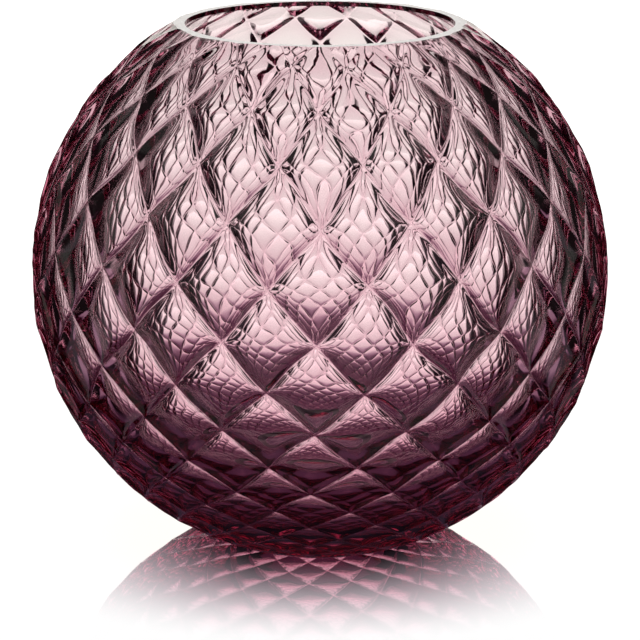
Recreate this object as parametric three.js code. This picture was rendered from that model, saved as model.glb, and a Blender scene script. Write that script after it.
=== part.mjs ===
// Ball vase of mould-blown glass with a diamond-optic outer wall. Millimetres, +Z up.
// The vase stands on z = 0 and turns about the Z axis; -Y is its front.
import * as THREE from 'three';

// The ball
const BALL_DIAMETER = 200; // over the points where the ridges cross
const MOUTH_DIAMETER = 92; // inside the ground rim
const RIM_WALL = 4; // the flat ground rim, where a ridge crossing would meet it
const LIP_HEIGHT = 1.6; // the straight edge inside the mouth, below the rim
const FOOT_DIAMETER = 68; // over the ridges, where the ball is cut flat
const BELLY_WALL = 5.8; // at a ridge crossing, at the widest place
const BASE_THICKNESS = 9.5; // on the axis, above the table
const KICK_DIAMETER = 46; // the hollow under the base, inside the flat foot ring
const KICK_HEIGHT = 1.6;

// The diamonds
const COLUMNS = 20; // diamonds round the ball
const FACET_STEPS = 3; // mesh steps along each side of a diamond
const STEPS_ABOVE_FIRST_CROSSING = 2; // mesh steps from the rim down to the first ring of crossings
const TALLNESS = { rim: 1.85, belly: 1.1, foot: 0.86 }; // a diamond's height over its width
const DISH_DEPTH = { rim: 1.8, belly: 2.35, foot: 0.6 }; // a diamond's middle below its ridges' edges
const DISH_UPRIGHT = 1.3; // a dish's roundness from top to bottom over that from side to side
const DISH_FLANK = 0.4; // 0 makes the dishes even, more makes them flatter inside and steeper at the ridges
const RIDGE_SAG = { rim: 0.3, belly: 0.7, foot: 0.15 }; // a ridge's middle below the ball
const RIDGE_HEIGHT = { rim: 0.8, belly: 0.7, foot: 0.2 }; // a ridge's narrow top above the dishes' edges
const RIDGE_WIDTH = { rim: 2, belly: 1.2, foot: 1 }; // half the width of that narrow top
const FADE_ABOVE_RIM = 10; // the relief would end this far above the rim, where the mouth was opened
const FADE_BELOW_RIM = 26; // and has its full depth this far below it
const FOOT_TURN = -6; // degrees that the blower's twist has turned the lowest diamonds

// Smooth curves
const INNER_STEPS = 6; // mesh rows in each half of the inner wall
const KICK_STEPS = 3;

const ballRadius = BALL_DIAMETER / 2;
const mouthRadius = MOUTH_DIAMETER / 2;
const kickRadius = KICK_DIAMETER / 2;
const rimRise = Math.sqrt(ballRadius ** 2 - (mouthRadius + RIM_WALL) ** 2);
const centreHeight = Math.sqrt(ballRadius ** 2 - (FOOT_DIAMETER / 2) ** 2); // above the table
const segments = COLUMNS * FACET_STEPS;
const segmentAngle = (2 * Math.PI) / segments;
const halfColumn = Math.PI / COLUMNS;

// A value set at the rim, at the widest place and at the foot, on a smooth curve through the three.
// rise is the height above the ball's centre.
function downTheBall({ rim, belly, foot }, rise) {
  const above = (rim - belly) / rimRise;
  const below = (foot - belly) / centreHeight;
  const bend = (above + below) / (rimRise + centreHeight);
  const slope = above - bend * rimRise;
  return belly + slope * rise + bend * rise * rise;
}

// Heights of the mesh rows above the ball's centre, from the rim down to the foot. On a ball, rows
// that keep a diamond's shape draw closer as the columns do, towards the foot. The last is the foot's.
function rowRises() {
  const stepDown = (latitude) => {
    const tallness = downTheBall(TALLNESS, ballRadius * Math.sin(latitude));
    return (halfColumn / FACET_STEPS) * tallness * Math.cos(latitude);
  };
  const rises = [];
  const footLatitude = -Math.asin(centreHeight / ballRadius);
  let latitude = Math.asin(rimRise / ballRadius);
  while (latitude - footLatitude > stepDown(latitude) / 2) {
    rises.push(ballRadius * Math.sin(latitude));
    latitude -= stepDown(latitude - stepDown(latitude) / 2);
  }
  return [...rises, -centreHeight];
}

// 1 in the middle of a dish and 0 at its ridges.
function hollow(place) {
  return 1 - (1 - DISH_FLANK) * place ** 2 - DISH_FLANK * place ** 4;
}

// 1 on a ridge and 0 a little way from it.
function onRidge(place, rise) {
  const ridgeSpacing = halfColumn * Math.sqrt(2 * (ballRadius ** 2 - rise ** 2));
  const fromRidge = ((1 - Math.abs(place)) * ridgeSpacing) / 2;
  return Math.exp(-((fromRidge / downTheBall(RIDGE_WIDTH, rise)) ** 2));
}

// How far the outer wall lies below the ball. across and along run from -1 to 1 between the two
// ridges of each direction that bound a diamond. The upright part shares out the roundness of a tall
// diamond's dish between up and down and side to side.
function relief(across, along, rise) {
  const sag = 2 * downTheBall(RIDGE_SAG, rise);
  const dish = downTheBall(DISH_DEPTH, rise) - sag;
  const tall = DISH_UPRIGHT * downTheBall(TALLNESS, rise) ** 2;
  const upright = ((2 * (1 - DISH_FLANK) * dish + sag) * (tall - 1)) / (tall + 1);
  const curve = hollow(across) * hollow(along) * (dish + upright * across * along);
  const offRidge = 1 - Math.max(onRidge(across, rise), onRidge(along, rise));
  const ridgeSide = downTheBall(RIDGE_HEIGHT, rise) * offRidge;
  const depth = sag * (1 - (across ** 2 + along ** 2) / 2) + curve + ridgeSide;
  return depth * THREE.MathUtils.smoothstep(rimRise - rise, -FADE_ABOVE_RIM, FADE_BELOW_RIM);
}

// Place from -1 to 1 between two ridges, counted in mesh steps from a ridge.
function betweenRidges(step) {
  return 2 * THREE.MathUtils.euclideanModulo(step / FACET_STEPS, 1) - 1;
}

// Half of the smooth inner wall: a quarter of an ellipse, from one angle to the other.
function innerCurve(halfHeight, fromAngle, toAngle) {
  const innerRadius = ballRadius - BELLY_WALL;
  const curve = new THREE.EllipseCurve(0, centreHeight, innerRadius, halfHeight, fromAngle, toAngle, true);
  return curve.getPoints(INNER_STEPS);
}

// The wall's section, from the middle of the base out, up the outside, over the rim and down inside.
function wallProfile(rises) {
  const kick = [];
  for (let step = 0; step <= KICK_STEPS; step += 1) {
    const share = step / KICK_STEPS;
    kick.push(new THREE.Vector2(kickRadius * share, KICK_HEIGHT * (1 - share * share)));
  }
  const outside = rises.toReversed().map((rise) => {
    const radius = Math.sqrt(ballRadius ** 2 - rise ** 2);
    return new THREE.Vector2(radius, centreHeight + rise);
  });
  const rimAngle = Math.acos(mouthRadius / (ballRadius - BELLY_WALL));
  const lip = new THREE.Vector2(mouthRadius, centreHeight + rimRise);
  const shoulder = innerCurve((rimRise - LIP_HEIGHT) / Math.sin(rimAngle), rimAngle, 0);
  const bowl = innerCurve(centreHeight - BASE_THICKNESS, 0, -Math.PI / 2);
  bowl.at(-1).x = 0;
  const points = [...kick, ...outside, lip, ...shoulder, ...bowl.slice(1)];
  return { points, firstOutside: kick.length };
}

// Turns each ring of the lathed outside by half a mesh step from the next, so that both directions
// of ridges run along mesh edges, and presses the diamonds in towards the ball's centre. The rim's
// ring and the foot's keep their height, because both are ground flat. The rings of the kick and of
// the inside turn with the ring of the outside that they meet.
function pressDiamonds(geometry, profile, rises) {
  const position = geometry.attributes.position;
  const rowCount = profile.points.length;
  const lastRow = rises.length - 1;
  for (let index = 0; index < position.count; index += 1) {
    const segment = Math.floor(index / rowCount);
    const ring = index % rowCount;
    const ownRow = lastRow - (ring - profile.firstOutside);
    const row = THREE.MathUtils.clamp(ownRow, 0, lastRow);
    const stepsUp = STEPS_ABOVE_FIRST_CROSSING - row;
    let radius = profile.points[ring].x;
    if (row === ownRow) {
      const depth = relief(betweenRidges(segment), betweenRidges(segment + stepsUp), rises[row]);
      const isGround = row === 0 || row === lastRow;
      const rise = isGround ? rises[row] : rises[row] * (1 - depth / ballRadius);
      radius = Math.sqrt((ballRadius - depth) ** 2 - rise ** 2);
      position.setY(index, centreHeight + rise);
    }
    const twist = THREE.MathUtils.degToRad(FOOT_TURN) * (row / lastRow) ** 2;
    const angle = (segment + stepsUp / 2) * segmentAngle + halfColumn + twist;
    position.setX(index, radius * Math.sin(angle));
    position.setZ(index, radius * Math.cos(angle));
  }
}

function buildBall() {
  const rises = rowRises();
  const profile = wallProfile(rises);
  const geometry = new THREE.LatheGeometry(profile.points, segments);
  pressDiamonds(geometry, profile, rises);
  geometry.rotateX(Math.PI / 2);
  geometry.computeVertexNormals();
  return geometry;
}

const plumGlass = new THREE.MeshStandardMaterial({
  color: 0x7a3a52,
  roughness: 0.04,
  metalness: 0,
  transparent: true,
  opacity: 0.6,
});

const ball = new THREE.Mesh(buildBall(), plumGlass);
ball.name = 'glass_ball';

const vase = new THREE.Group();
vase.add(ball);

export default vase;
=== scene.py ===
import math

import bmesh
import bpy
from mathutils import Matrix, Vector, noise


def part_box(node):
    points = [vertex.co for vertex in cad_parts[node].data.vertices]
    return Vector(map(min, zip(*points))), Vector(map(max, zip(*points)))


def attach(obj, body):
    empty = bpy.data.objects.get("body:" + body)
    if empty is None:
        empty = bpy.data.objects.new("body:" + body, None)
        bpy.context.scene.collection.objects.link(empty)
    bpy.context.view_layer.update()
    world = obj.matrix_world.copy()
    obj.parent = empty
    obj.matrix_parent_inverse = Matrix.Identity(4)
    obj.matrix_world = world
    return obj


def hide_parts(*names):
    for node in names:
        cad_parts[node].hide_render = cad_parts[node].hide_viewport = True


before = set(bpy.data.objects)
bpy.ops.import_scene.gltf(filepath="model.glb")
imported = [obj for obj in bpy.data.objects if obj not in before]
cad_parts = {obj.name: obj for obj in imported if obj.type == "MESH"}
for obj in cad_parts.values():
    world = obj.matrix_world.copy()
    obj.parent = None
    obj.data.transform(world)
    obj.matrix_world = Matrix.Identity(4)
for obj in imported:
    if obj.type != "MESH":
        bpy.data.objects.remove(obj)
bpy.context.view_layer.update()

MM = 0.001

# The ball's sizes, as in the solid
FOOT_RADIUS = 34 * MM  # over the ridges, where the ball is cut flat
MOUTH_RADIUS = 46 * MM  # inside the ground rim
LIP_HEIGHT = 1.6 * MM  # the straight edge inside the mouth, below the rim
BELLY_WALL = 5.8 * MM  # at a ridge crossing, at the widest place
BASE_THICKNESS = 9.5 * MM  # on the axis, above the table
KICK_RADIUS = 23 * MM  # the hollow under the base, inside the flat foot ring
KICK_HEIGHT = 1.6 * MM

# The diamonds, with their relief finer than in the solid. Three values are those at the rim, at the
# widest place and at the foot.
COLUMNS = 20  # diamonds round the ball
FIRST_COLUMN = 0.5  # columns from the front round to the first column of crossings
RIM_ABOVE_CROSSING = 2 / 3  # rows from the first ring of crossings up to the rim
TALLNESS = (1.85, 1.1, 0.86)  # a diamond's height over its width
DISH_DEPTH = (1.8 * MM, 2.5 * MM, 1.4 * MM)  # a diamond's middle below its ridges' edges
DISH_UPRIGHT = 1.4  # a dish's roundness from top to bottom over that from side to side
DISH_FLANK = 0.4  # 0 makes the dishes even, more makes them flatter inside and steeper at the ridges
RIDGE_SAG = (0.3 * MM, 0.4 * MM, 0.1 * MM)  # a ridge's middle below the ball
RIDGE_HEIGHT = (0.65 * MM, 0.6 * MM, 0.5 * MM)  # a ridge's narrow top above the dishes' edges
RIDGE_WIDTH = (1.6 * MM, 1.2 * MM, 1 * MM)  # half the width of that narrow top
RIDGE_ROUNDING = 0.02  # bluntness of the ridges, as a share of half a diamond
RIM_FADE = (-10 * MM, 26 * MM)  # below the rim, where the relief would end and where it is full
FOOT_FADE = (-6 * MM, 12 * MM)  # above the foot, where the relief would end and where it is full
FOOT_TURN = math.radians(-6)  # how far the blower's twist has turned the lowest diamonds

# The unevenness of glass shaped by hand. A scale counts the swells in a ball radius.
DRIFT = 0.02  # radians that the pattern strays from its even place
DRIFT_SCALE = 5
WAVE = 0.25 * MM  # over the whole wall
WAVE_SCALE = 9
RIM_WAVE = 1.5  # this much is added to the waves, as a share of them, up at the rim
RIDGE_WAVE = 0.3 * MM  # towards the ridges
RIDGE_WAVE_SCALE = 17
NOISE_START = {"down": 3, "round": 7, "wall": 11, "ridges": 17}  # far apart, so that no two run alike

# The mesh
FACET_STEPS = 14  # along each side of a diamond
RIDGE_CROWDING = 2.1  # 1 makes the steps even, more draws them towards the ridges
TOP_RING = -2  # rings of crossings are counted down from the first one under the rim
BOTTOM_RING = 19
ROW_STEPS = 48  # latitudes worked out in each row
FOOT_SEARCH_STEP = 0.01  # in rows
INNER_ROWS = 30  # down the smooth inside
KICK_ROWS = 6  # up into the hollow under the base
AXIS_RADIUS = 1.2 * MM  # the last ring of a smooth wall, before it closes on the axis
ROUNDING_SLACK = 1e-4  # of a diamond
SAME_HEIGHT = 0.02 * MM  # points this near in height are on one level
CUT_WITHIN = 0.0001 * MM
MERGE_WITHIN = 0.005 * MM
SMOOTH_ANGLE = math.radians(32)

# The glass and the floor. Two values are where a change starts and where it is complete.
GLASS_IOR = 1.52
GLASS_DENSITY = 70  # per metre of glass
GRIND_GRAIN = 0.8 * MM
FLOOR_SIZE = 12  # metres
FLOOR_FADE = (0.034, 0.12)  # metres from the vase's axis, from mirror to painted white glow, a painted fading of the vase's reflection

# The studio's light. For the panels, 1 is straight behind the vase, 0 at its sides and -1 in front.
# Two values are where a light is dark and where it is full.
STUDIO_WHITE = "fffef6"
BACKDROP_EDGE = (0.955, 0.967)
BACKDROP_LIGHT = 1.05
SIDE_PANEL_EDGE = (0.2, 0.1)
SIDE_PANEL_LIGHT = 0.45
FRONT_PANEL_EDGE = (-0.5, -0.62)
FRONT_PANEL_LIGHT = 0.25
PANEL_TOP = (0.8, 0.5)  # sines of the height above level
ROOM_LIGHT = 0.008  # all round, between the panels
RIM_LIGHT = 2.6  # watts per square metre
# The dark table that only the glass shows, with its light painted into its emission.
TABLE_REACH = 1.5  # metres from the vase's axis to the table's edges
TABLE_BELOW_FLOOR = 1 * MM
TABLE_LIT = (0.09, 0.2)  # metres from the vase's axis, where the panel light painted on the table starts and where it is full
TABLE_LIGHT = 0.82  # strength of the panel light painted on the table, as a share of the panels' light
STRIP_START = 0.5  # metres in front of the vase, where the painted lit strip would come to a point
STRIP_EDGE = (0.9875, 0.99)  # cosines of the angle from the strip's middle line, at that point
PAINTED_TABLE_GLOW = 0.11  # painted plum glow on the table round the vase, standing in for light that the vase throws on it
PAINTED_GLOW_EDGE = (0.14, 0.08)  # metres from the vase's axis, where the painted glow ends and where it is full

# The camera and the paths of light
CAMERA_DISTANCE = 10.23  # ball radii, from the ball's centre
CAMERA_ELEVATION = math.radians(14)
SENSOR_WIDTH = 36  # millimetres
PHOTO_WIDTH = 640  # pixels
LENS_PIXELS = 2943  # the lens's length in pixels of the photograph
CENTRE_ABOVE_MIDDLE = 50.5  # pixels from the photograph's middle up to the ball's centre
NEAREST_SEEN = 10 * MM
GLASS_BOUNCES = 32
MIRROR_BOUNCES = 8

low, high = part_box("glass_ball")
ball_radius = (high[0] - low[0]) / 2
vase_height = high[2]
centre_height = math.sqrt(ball_radius ** 2 - FOOT_RADIUS ** 2)
rim_rise = vase_height - centre_height
rim_latitude = math.asin(rim_rise / ball_radius)
foot_latitude = -math.asin(centre_height / ball_radius)
half_column = math.pi / COLUMNS


def down_the_ball(values, rise):
    """A value given at the rim, the widest place and the foot, on a smooth curve through the three. rise is
    the height above the ball's centre."""
    rim, belly, foot = values
    above = (rim - belly) / rim_rise
    below = (foot - belly) / centre_height
    bend = (above + below) / (rim_rise + centre_height)
    return belly + (above - bend * rim_rise) * rise + bend * rise * rise


def row_latitudes():
    """Latitudes at fine even steps of a row, from the top ring of crossings down to the bottom one, and the
    rim's place among them."""
    def tallness(latitude):
        return down_the_ball(TALLNESS, ball_radius * math.sin(latitude))

    def next_step(latitude, way):
        step = way * half_column / ROW_STEPS
        halfway = latitude - step / 2 * tallness(latitude) * math.cos(latitude)
        return latitude - step * tallness(halfway) * math.cos(halfway)

    up, down = [rim_latitude], [rim_latitude]
    while len(up) <= (-RIM_ABOVE_CROSSING - TOP_RING) * ROW_STEPS + 1:
        up.append(next_step(up[-1], -1))
    while len(down) <= (BOTTOM_RING + RIM_ABOVE_CROSSING) * ROW_STEPS + 1:
        down.append(next_step(down[-1], 1))
    return up[:0:-1] + down, len(up) - 1


latitudes, rim_step = row_latitudes()


def latitude_at(row):
    """Latitude at a place in rows down from the first ring of crossings."""
    place = (row + RIM_ABOVE_CROSSING) * ROW_STEPS + rim_step
    step = min(max(int(place), 0), len(latitudes) - 2)
    return latitudes[step] + (latitudes[step + 1] - latitudes[step]) * (place - step)


def row_at_foot():
    """The foot's place in rows, found from the bottom ring up."""
    row = BOTTOM_RING
    while latitude_at(row) < foot_latitude:
        row -= FOOT_SEARCH_STEP
    return row


foot_row = row_at_foot()


def hollow(place):
    """1 in the middle of a dish and 0 at its ridges."""
    return 1 - (1 - DISH_FLANK) * place ** 2 - DISH_FLANK * place ** 4


def on_ridge(place, rise):
    """1 on a ridge and 0 a little way from it."""
    ridge_spacing = half_column * math.sqrt(2 * (ball_radius ** 2 - rise ** 2))
    from_ridge = (1 - abs(place)) * ridge_spacing / 2
    return math.exp(-(from_ridge / down_the_ball(RIDGE_WIDTH, rise)) ** 2)


def soft_ridge(place):
    """The same place with the sharp turn over a ridge rounded off."""
    from_ridge = math.sqrt((1 - abs(place)) ** 2 + RIDGE_ROUNDING ** 2) - RIDGE_ROUNDING
    return math.copysign(1 - from_ridge, place)


def soft_step(value, start, end):
    """0 up to the start and 1 from the end on, with a soft change between."""
    place = min(max((value - start) / (end - start), 0), 1)
    return place * place * (3 - 2 * place)


def above_foot(rise):
    """The share of its depth that the relief has over the foot, which is ground flat."""
    return soft_step(centre_height + rise, *FOOT_FADE)


def below_rim(rise):
    """The share of its depth that the relief has under the rim, where the mouth was opened."""
    return soft_step(rim_rise - rise, *RIM_FADE)


def relief(across, along, rise):
    """Depth below the ball. across and along run from -1 to 1 between the ridges round a diamond. The
    upright part makes a tall diamond's dish a little rounder from top to bottom than from side to side."""
    off_ridge = 1 - max(on_ridge(across, rise), on_ridge(along, rise))
    across, along = soft_ridge(across), soft_ridge(along)
    sag = 2 * down_the_ball(RIDGE_SAG, rise)
    dish = down_the_ball(DISH_DEPTH, rise) - sag
    tall = DISH_UPRIGHT * down_the_ball(TALLNESS, rise) ** 2
    upright = (2 * (1 - DISH_FLANK) * dish + sag) * (tall - 1) / (tall + 1)
    curve = hollow(across) * hollow(along) * (dish + upright * across * along)
    ridge_side = down_the_ball(RIDGE_HEIGHT, rise) * off_ridge
    depth = sag * (1 - (across ** 2 + along ** 2) / 2) + curve + ridge_side
    return below_rim(rise) * above_foot(rise) * depth


def crowd_to_ridges(place):
    """Moves an even step across a diamond towards the nearer ridge, where the glass turns sharply. Gives the
    diamond's number and the place from -1 to 1 in it."""
    whole = math.floor(place + ROUNDING_SLACK)
    part = 2 * (place - whole) - 1
    from_ridge = max(1 - abs(part), 0) ** RIDGE_CROWDING
    return whole, math.copysign(1 - from_ridge, part)


def uneven(direction, scale, start):
    """Slow change from about -1 to 1 over the ball."""
    return noise.noise(direction * scale + Vector((start, start, start)))


def ball_direction(latitude, angle):
    """Direction from the ball's centre. The angle runs from the front towards +X."""
    level = math.cos(latitude)
    return Vector((level * math.sin(angle), -level * math.cos(angle), math.sin(latitude)))


def wall_point(column, row):
    """A point of the outer wall, from its place in columns round and rows of crossings down."""
    whole_across, across = crowd_to_ridges(column - row / 2)
    whole_along, along = crowd_to_ridges(column + row / 2)
    crowded_across = whole_across + (across + 1) / 2
    crowded_along = whole_along + (along + 1) / 2
    column = (crowded_across + crowded_along) / 2
    row = crowded_along - crowded_across
    latitude = latitude_at(row)
    rise = ball_radius * math.sin(latitude)
    down = (row + RIM_ABOVE_CROSSING) / (foot_row + RIM_ABOVE_CROSSING)
    angle = 2 * half_column * (column + FIRST_COLUMN) + FOOT_TURN * down ** 2
    even = ball_direction(latitude, angle)
    latitude += DRIFT * uneven(even, DRIFT_SCALE, NOISE_START["down"])
    angle += DRIFT * uneven(even, DRIFT_SCALE, NOISE_START["round"])
    deeper = 1 + RIM_WAVE * max(rise / rim_rise, 0) ** 3
    wave = WAVE * deeper * uneven(even, WAVE_SCALE, NOISE_START["wall"])
    off_middle = 1 - hollow(across) * hollow(along)
    ridge_wave = RIDGE_WAVE * off_middle * above_foot(rise)
    wave += ridge_wave * uneven(even, RIDGE_WAVE_SCALE, NOISE_START["ridges"])
    radius = ball_radius - relief(across, along, rise) - wave
    return radius * ball_direction(latitude, angle) + Vector((0, 0, centre_height))


def edit_mesh(piece):
    return bmesh.from_edit_mesh(piece.data)


def select_edges(piece, wanted):
    """Leaves only the wanted edges of the mesh being edited selected."""
    bpy.ops.mesh.select_all(action="DESELECT")
    mesh = edit_mesh(piece)
    for edge in mesh.edges:
        if wanted(edge):
            edge.select = True
    mesh.select_flush_mode()
    bmesh.update_edit_mesh(piece.data)


def draw_ring(from_ring, to_ring):
    """Extrudes the selected ring of edges from one radius and height to the next."""
    bpy.ops.mesh.extrude_region_move(TRANSFORM_OT_translate={"value": (0, 0, to_ring[1] - from_ring[1])})
    size = to_ring[0] / from_ring[0]
    bpy.ops.transform.resize(value=(size, size, 1), center_override=(0, 0, 0))


def crossing_ring(number):
    """Radius and height of a ring of crossings on the even ball."""
    latitude = latitude_at(number)
    return ball_radius * math.cos(latitude), centre_height + ball_radius * math.sin(latitude)


def make_net():
    """The wall as one flat-faced quad for each diamond, from rings each turned half a column."""
    def divides_diamond(edge):
        one, other = edge.verts
        return not edge.is_boundary and abs(one.co.z - other.co.z) < SAME_HEIGHT

    rings = [crossing_ring(number) for number in range(TOP_RING, BOTTOM_RING + 1)]
    radius, height = rings[0]
    bpy.ops.object.select_all(action="DESELECT")
    bpy.ops.mesh.primitive_circle_add(
        vertices=COLUMNS, radius=radius, location=(0, 0, height), rotation=(0, 0, half_column))
    net = bpy.context.object
    bpy.ops.object.transform_apply(location=True, rotation=True, scale=True)
    bpy.ops.object.mode_set(mode="EDIT")
    bpy.ops.mesh.select_mode(type="EDGE")
    bpy.ops.mesh.select_all(action="SELECT")
    for upper, lower in zip(rings, rings[1:]):
        draw_ring(upper, lower)
        bpy.ops.transform.rotate(value=half_column, orient_axis="Z", center_override=(0, 0, 0))
    bpy.ops.mesh.select_all(action="SELECT")
    bpy.ops.mesh.quads_convert_to_tris(quad_method="SHORTEST_DIAGONAL")
    select_edges(net, divides_diamond)
    bpy.ops.mesh.dissolve_edges(use_verts=False, use_face_split=False)
    return net


def number_the_net(net):
    """Writes each corner's column and row into a UV map, whole round each diamond."""
    def column_at(point):
        return math.atan2(point.x, -point.y) / (2 * half_column) - FIRST_COLUMN

    mesh = edit_mesh(net)
    places = mesh.loops.layers.uv.new("lattice")
    heights = {number: crossing_ring(number)[1] for number in range(TOP_RING, BOTTOM_RING + 1)}
    for face in mesh.faces:
        middle_column = column_at(face.calc_center_median())
        for loop in face.loops:
            point = loop.vert.co
            column = column_at(point)
            column += COLUMNS * round((middle_column - column) / COLUMNS)
            row = min(heights, key=lambda number: abs(heights[number] - point.z))
            loop[places].uv = (round(2 * column) / 2, row)
    bmesh.update_edit_mesh(net.data)


def press_diamonds(net):
    """Divides each diamond finely and moves every point to its place on the pressed wall."""
    bpy.ops.mesh.select_all(action="SELECT")
    bpy.ops.mesh.subdivide(number_cuts=FACET_STEPS - 1)
    mesh = edit_mesh(net)
    places = mesh.loops.layers.uv["lattice"]
    for vert in mesh.verts:
        column, row = vert.link_loops[0][places].uv
        vert.co = wall_point(column, row)
    bmesh.update_edit_mesh(net.data)


def cut_flat(height, up):
    """Cuts off what is past a height. up is 1 to cut off what is above it, and -1 what is below."""
    bpy.ops.mesh.select_all(action="SELECT")
    bpy.ops.mesh.bisect(
        plane_co=(0, 0, height), plane_no=(0, 0, up), clear_outer=True, use_fill=False, threshold=CUT_WITHIN)


def turn_inside(net, profile):
    """Draws the cut edge at the profile's first height into a true circle, then turns a smooth wall from
    the (radius, height) points, the last of which is near the axis, where it closes."""
    radius, height = profile[0]

    def at_cut(edge):
        return edge.is_boundary and abs(edge.verts[0].co.z - height) < SAME_HEIGHT

    select_edges(net, at_cut)
    bpy.ops.mesh.extrude_region_move()
    mesh = edit_mesh(net)
    for vert in mesh.verts:
        if vert.select:
            vert.co.xy = vert.co.xy.normalized() * radius
    bmesh.update_edit_mesh(net.data)
    for outer, inner in zip(profile, profile[1:]):
        draw_ring(outer, inner)
    bpy.ops.mesh.merge(type="CENTER")


def inner_profile():
    """Down the smooth inside: the mouth's straight lip, a steeper ellipse to the belly, a flatter one to
    the base."""
    inner_radius = ball_radius - BELLY_WALL
    mouth_angle = math.acos(MOUTH_RADIUS / inner_radius)
    upper = (rim_rise - LIP_HEIGHT) / math.sin(mouth_angle)
    lower = centre_height - BASE_THICKNESS
    points = [(MOUTH_RADIUS, vase_height)]
    for step in range(INNER_ROWS + 1):
        angle = mouth_angle - (mouth_angle + math.pi / 2) * step / INNER_ROWS
        half_height = upper if angle > 0 else lower
        radius = max(inner_radius * math.cos(angle), AXIS_RADIUS)
        points.append((radius, centre_height + half_height * math.sin(angle)))
    return points


def kick_profile():
    """From the flat foot ring up into the shallow hollow under the base."""
    points = []
    for step in range(KICK_ROWS + 1):
        share = 1 - step / KICK_ROWS
        points.append((max(KICK_RADIUS * share, AXIS_RADIUS), KICK_HEIGHT * (1 - share ** 2)))
    return points


def make_ball():
    """The one piece of glass: the pressed wall, cut flat at rim and foot and closed by smooth walls."""
    net = make_net()
    number_the_net(net)
    press_diamonds(net)
    cut_flat(vase_height, 1)
    cut_flat(0, -1)
    turn_inside(net, inner_profile())
    turn_inside(net, kick_profile())
    bpy.ops.mesh.select_all(action="SELECT")
    bpy.ops.mesh.remove_doubles(threshold=MERGE_WITHIN)
    bpy.ops.mesh.normals_make_consistent(inside=False)
    bpy.ops.object.mode_set(mode="OBJECT")
    bpy.ops.object.shade_smooth_by_angle(angle=SMOOTH_ANGLE)
    net.name = "ball"
    net.data.materials.append(plum_glass())
    net.data.materials.append(ground_glass())
    ground_slot = net.data.materials.find("ground_glass")
    for face in net.data.polygons:
        at_rim = abs(face.center.z - vase_height) < SAME_HEIGHT
        at_foot = abs(face.center.z) < SAME_HEIGHT
        if at_rim or at_foot:
            face.material_index = ground_slot
    return net


def linear(hex_colour):
    """Linear colour of an sRGB hex string."""
    parts = [int(hex_colour[i:i + 2], 16) / 255 for i in (0, 2, 4)]
    return [c / 12.92 if c <= 0.04045 else ((c + 0.055) / 1.055) ** 2.4 for c in parts] + [1]


def add_node(tree, kind, inputs=(), **settings):
    """A new node with its settings. The inputs are named, or listed in the node's order. Each is a value, a
    socket to link, or a node to link by the first output that its settings leave in use."""
    made = tree.nodes.new("ShaderNode" + kind)
    for name, value in settings.items():
        setattr(made, name, value)
    named = inputs if isinstance(inputs, dict) else dict(enumerate(inputs))
    for name, value in named.items():
        if isinstance(value, bpy.types.Node):
            value = next(socket for socket in value.outputs if socket.enabled)
        if isinstance(value, bpy.types.NodeSocket):
            tree.links.new(value, made.inputs[name])
        else:
            made.inputs[name].default_value = value
    return made


def new_material(name):
    material = bpy.data.materials.new(name)
    material.use_nodes = True
    material.node_tree.nodes.clear()
    return material, material.node_tree


def plum_glass():
    # Mould-blown and fire-polished: clear through the thin wall and nearly black along it, because the
    # colour is in the depth of the glass.
    material, tree = new_material("plum_glass")
    surface = add_node(tree, "BsdfPrincipled", {
        "Base Color": linear("ffffff"), "Roughness": 0.0, "IOR": GLASS_IOR, "Transmission Weight": 1.0})
    depth = add_node(tree, "VolumeAbsorption", {"Color": linear("e26ca4"), "Density": GLASS_DENSITY})
    add_node(tree, "OutputMaterial", {"Surface": surface, "Volume": depth})
    return material


def ground_glass():
    # Ground flat on a wheel, at the rim and under the foot: pale and dull, with a fine grain. The wheel's
    # grit is too fine to show, so the grain is drawn as coarse as it needs to be.
    material, tree = new_material("ground_glass")
    place = add_node(tree, "TexCoord").outputs["Object"]
    grain = add_node(tree, "TexNoise", {"Vector": place, "Scale": 1 / GRIND_GRAIN, "Detail": 3.0})
    colour = add_node(tree, "Mix", {
        "Factor": grain, "A": linear("dcd6d4"), "B": linear("faf7f5")}, data_type="RGBA")
    surface = add_node(tree, "BsdfPrincipled", {
        "Base Color": colour, "Roughness": 0.55, "IOR": GLASS_IOR})
    add_node(tree, "OutputMaterial", {"Surface": surface})
    return material


def white_acrylic():
    # Polished acrylic that glows white as if lit from below: a mirror close to the vase, fading into the
    # glowing white of the ground, a painted fading of the vase's reflection. The glow is left out close to
    # the vase, a painted shade round the foot, and is pink where it fades in, a painted plum tint. It is set
    # as a metal, because a plain gloss would reflect too little.
    material, tree = new_material("white_acrylic")
    place = add_node(tree, "TexCoord").outputs["Object"]
    away = add_node(tree, "VectorMath", [place], operation="LENGTH")
    ground = add_node(tree, "MapRange", [away, *FLOOR_FADE], interpolation_type="SMOOTHSTEP")
    # The mirror fades out away from the vase, a painted fading of its reflection.
    mirror = add_node(tree, "Mix", {
        "Factor": ground, "A": linear("ffffff"), "B": linear("000000")}, data_type="RGBA")
    # Painted glow: none close to the vase, a painted shade there, pink where it fades in, white further out.
    light = add_node(tree, "Mix", {
        "Factor": ground, "A": linear("f0d4e4"), "B": linear("ffffff")}, data_type="RGBA")
    surface = add_node(tree, "BsdfPrincipled", {
        "Base Color": mirror, "Metallic": 1.0, "Roughness": 0.03,
        "Emission Color": light, "Emission Strength": ground})
    add_node(tree, "OutputMaterial", {"Surface": surface})
    return material


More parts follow.
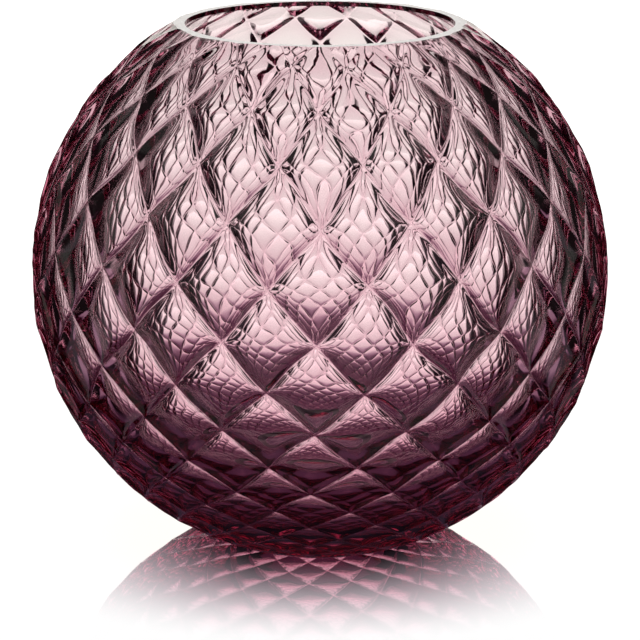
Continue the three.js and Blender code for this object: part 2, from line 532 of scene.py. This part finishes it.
def panel_light(tree, level, backdrop):
    """Light of the studio's panels: the backdrop by the share given, the others by their place round the
    vase, where level is 1 straight behind it, 0 at its sides and -1 in front."""
    aside = add_node(tree, "Math", [level], operation="ABSOLUTE")
    side = add_node(tree, "MapRange", [aside, *SIDE_PANEL_EDGE], interpolation_type="SMOOTHSTEP")
    front = add_node(tree, "MapRange", [level, *FRONT_PANEL_EDGE], interpolation_type="SMOOTHSTEP")
    light = add_node(tree, "Math", [backdrop, BACKDROP_LIGHT], operation="MULTIPLY")
    light = add_node(tree, "Math", [side, SIDE_PANEL_LIGHT, light], operation="MULTIPLY_ADD")
    return add_node(tree, "Math", [front, FRONT_PANEL_LIGHT, light], operation="MULTIPLY_ADD")


def black_acrylic():
    # Polished acrylic, the dark table that the glass shows. Its light is painted into its emission: a
    # painted plum glow close to the vase, standing in for the light that the vase throws on it, and painted
    # panel light further out, most in a strip behind the vase.
    material, tree = new_material("black_acrylic")
    place = add_node(tree, "TexCoord").outputs["Object"]
    away = add_node(tree, "VectorMath", [place], operation="LENGTH")
    back = add_node(tree, "SeparateXYZ", [place]).outputs["Y"]
    level = add_node(tree, "Math", [back, away], operation="DIVIDE")
    # Painted panel light: a lit strip behind the vase and the panels round it, none close to the vase.
    from_start = add_node(tree, "VectorMath", [place, (0, STRIP_START, 0)], operation="ADD")
    along = add_node(tree, "VectorMath", [from_start], operation="NORMALIZE")
    along_strip = add_node(tree, "SeparateXYZ", [along]).outputs["Y"]
    strip = add_node(tree, "MapRange", [along_strip, *STRIP_EDGE], interpolation_type="SMOOTHSTEP")
    behind = add_node(tree, "MapRange", [back, 0, TABLE_LIT[0]], interpolation_type="SMOOTHSTEP")
    backdrop = add_node(tree, "Math", [strip, behind], operation="MULTIPLY")
    panels = panel_light(tree, level, backdrop)
    far = add_node(tree, "MapRange", [away, *TABLE_LIT], interpolation_type="SMOOTHSTEP")
    painted_lit = add_node(tree, "Math", [panels, far], operation="MULTIPLY")
    # Painted plum glow close to the vase.
    near = add_node(tree, "MapRange", [away, *PAINTED_GLOW_EDGE], interpolation_type="SMOOTHSTEP")
    painted_glow = add_node(tree, "Math", [near, PAINTED_TABLE_GLOW], operation="MULTIPLY")
    light = add_node(tree, "Math", [painted_lit, TABLE_LIGHT, painted_glow], operation="MULTIPLY_ADD")
    # The painted light is plum in the glow and the studio's white where the panels' light is painted.
    colour = add_node(tree, "Mix", {
        "Factor": painted_lit, "A": linear("dca4d6"), "B": linear(STUDIO_WHITE)}, data_type="RGBA")
    # Reflections tinted pink, a painted plum tint.
    surface = add_node(tree, "BsdfPrincipled", {
        "Base Color": linear("0d070a"), "Roughness": 0.12, "IOR": 1.6, "Specular Tint": linear("ffaacb"),
        "Emission Color": colour, "Emission Strength": light})
    add_node(tree, "OutputMaterial", {"Surface": surface})
    return material


def make_floor():
    """The floor that the camera sees. The glass shows the dark table in its place."""
    bpy.ops.mesh.primitive_plane_add(size=FLOOR_SIZE)
    floor = bpy.context.object
    floor.name = "floor"
    floor.data.materials.append(white_acrylic())
    floor.visible_transmission = False
    floor.visible_glossy = False


def make_dark_table():
    """The table that the glass shows, with painted light on it. The camera doesn't see it, and it throws no
    shadow.
    """
    bpy.ops.mesh.primitive_plane_add(size=2 * TABLE_REACH, location=(0, 0, -TABLE_BELOW_FLOOR))
    table = bpy.context.object
    table.name = "dark_table"
    bpy.ops.object.transform_apply(location=True, rotation=True, scale=True)
    table.data.materials.append(black_acrylic())
    table.visible_camera = False
    table.visible_diffuse = False
    table.visible_shadow = False


def make_rim_light():
    """A lamp straight above that only the dull ground rim shows."""
    data = bpy.data.lights.new("rim_light", "SUN")
    data.energy = RIM_LIGHT
    lamp = bpy.data.objects.new("rim_light", data)
    bpy.context.scene.collection.objects.link(lamp)
    lamp.visible_glossy = False
    lamp.visible_transmission = False


def make_world():
    """The panels round the vase, up to their top edge, in a nearly dark room."""
    world = bpy.data.worlds.new("studio")
    bpy.context.scene.world = world
    world.use_nodes = True
    tree = world.node_tree
    tree.nodes.clear()
    direction = add_node(tree, "TexCoord").outputs["Generated"]
    up = add_node(tree, "SeparateXYZ", [direction]).outputs["Z"]
    flat = add_node(tree, "VectorMath", [direction, (1, 1, 0)], operation="MULTIPLY")
    compass = add_node(tree, "VectorMath", [flat], operation="NORMALIZE")
    level = add_node(tree, "SeparateXYZ", [compass]).outputs["Y"]
    backdrop = add_node(tree, "MapRange", [level, *BACKDROP_EDGE], interpolation_type="SMOOTHSTEP")
    panels = panel_light(tree, level, backdrop)
    below_top = add_node(tree, "MapRange", [up, *PANEL_TOP], interpolation_type="SMOOTHSTEP")
    light = add_node(tree, "Math", [panels, below_top, ROOM_LIGHT], operation="MULTIPLY_ADD")
    room = add_node(tree, "Background", {"Color": linear(STUDIO_WHITE), "Strength": light})
    add_node(tree, "OutputWorld", {"Surface": room})


def make_camera():
    """Where the photograph was taken from, as the rim's ellipse and the ball's place in it show."""
    data = bpy.data.cameras.new("camera")
    data.sensor_width = SENSOR_WIDTH
    data.lens = SENSOR_WIDTH * LENS_PIXELS / PHOTO_WIDTH
    data.clip_start = NEAREST_SEEN
    camera = bpy.data.objects.new("camera", data)
    bpy.context.scene.collection.objects.link(camera)
    bpy.context.scene.camera = camera
    distance = CAMERA_DISTANCE * ball_radius
    forward = distance * math.cos(CAMERA_ELEVATION)
    camera.location = (0, -forward, centre_height + distance * math.sin(CAMERA_ELEVATION))
    tilt = CAMERA_ELEVATION + math.atan(CENTRE_ABOVE_MIDDLE / LENS_PIXELS)
    camera.rotation_euler = (math.pi / 2 - tilt, 0, 0)


def set_view():
    """Plain colours, and enough bounces for light to pass through all the walls of the glass."""
    scene = bpy.context.scene
    scene.view_settings.view_transform = "Standard"
    scene.view_settings.look = "None"
    scene.cycles.max_bounces = GLASS_BOUNCES
    scene.cycles.transmission_bounces = GLASS_BOUNCES
    scene.cycles.glossy_bounces = MIRROR_BOUNCES
    scene.cycles.caustics_refractive = True
    scene.cycles.caustics_reflective = True


ball = make_ball()
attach(ball, "root")
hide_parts("glass_ball")
make_floor()
make_dark_table()
make_rim_light()
make_world()
make_camera()
set_view()
